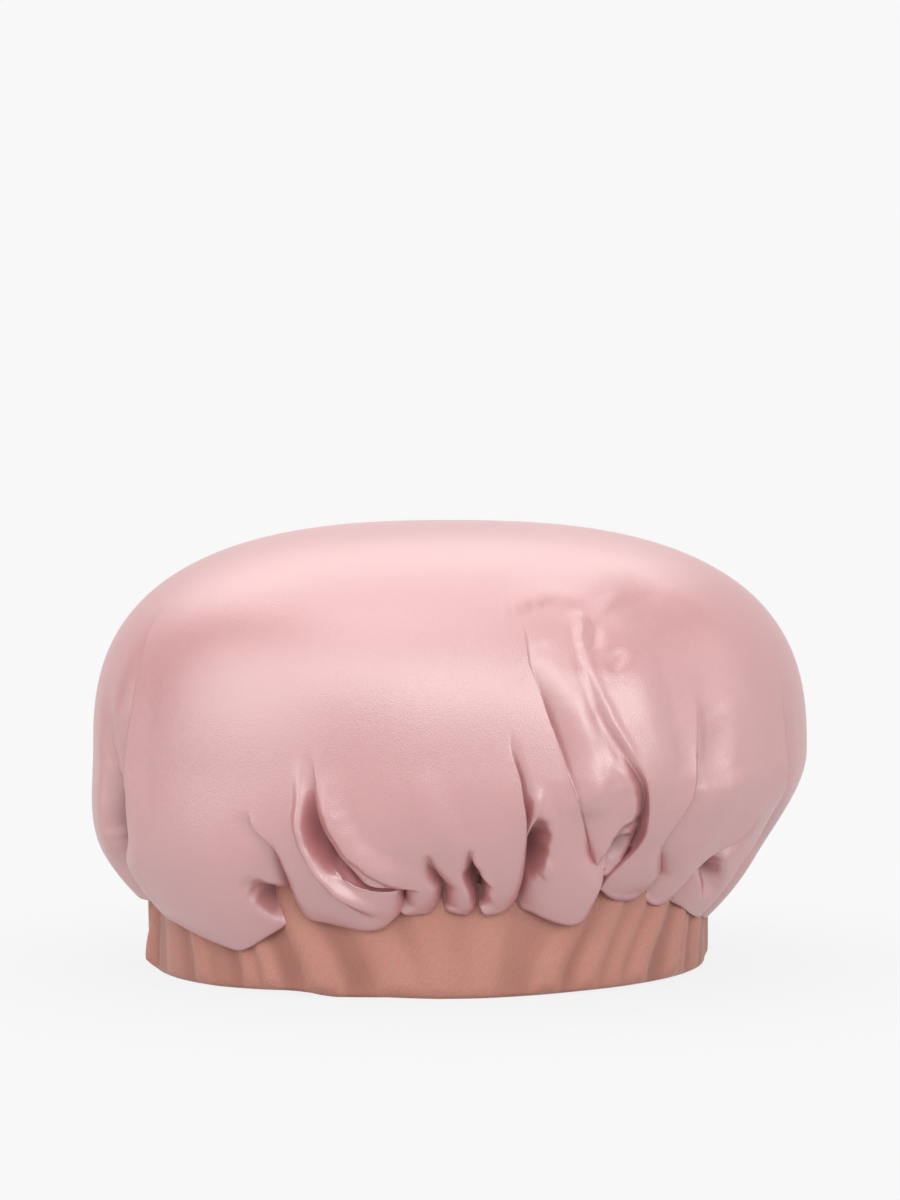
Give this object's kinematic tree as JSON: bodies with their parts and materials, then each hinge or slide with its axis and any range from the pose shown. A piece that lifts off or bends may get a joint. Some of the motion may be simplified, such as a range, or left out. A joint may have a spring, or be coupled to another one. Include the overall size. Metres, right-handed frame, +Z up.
{
  "type": "hair bonnet",
  "caption": "Puffed satin hair bonnet: a lined, gathered crown sewn into a wide stretch band with a flat elastic inside.",
  "frame": {"origin": "on the surface under the folded hem, below the middle of the crown; the band's loop is 7 mm to the left of it", "axes": "+Z up through the crown, -Y towards the front, +X to the right as seen from the front"},
  "size_m": [0.239, 0.2108, 0.149],
  "materials": {
    "crown_satin": "glossy pale pink satin",
    "crown_lining": "pale pink satin",
    "band_cloth": "dusty rose stretch cloth with a soft sheen",
    "elastic": "matt white woven elastic",
    "thread": "pink polyester thread"
  },
  "bodies": {
    "root": {"crown_satin": "crown_satin", "crown_lining": "crown_lining", "gathering_thread": "thread", "band_casing": "band_cloth", "band_end_stitches": "thread", "band_topstitch": "thread", "band_elastic": "elastic", "elastic_lap_stitches": "thread"}
  },
  "joints": []
}
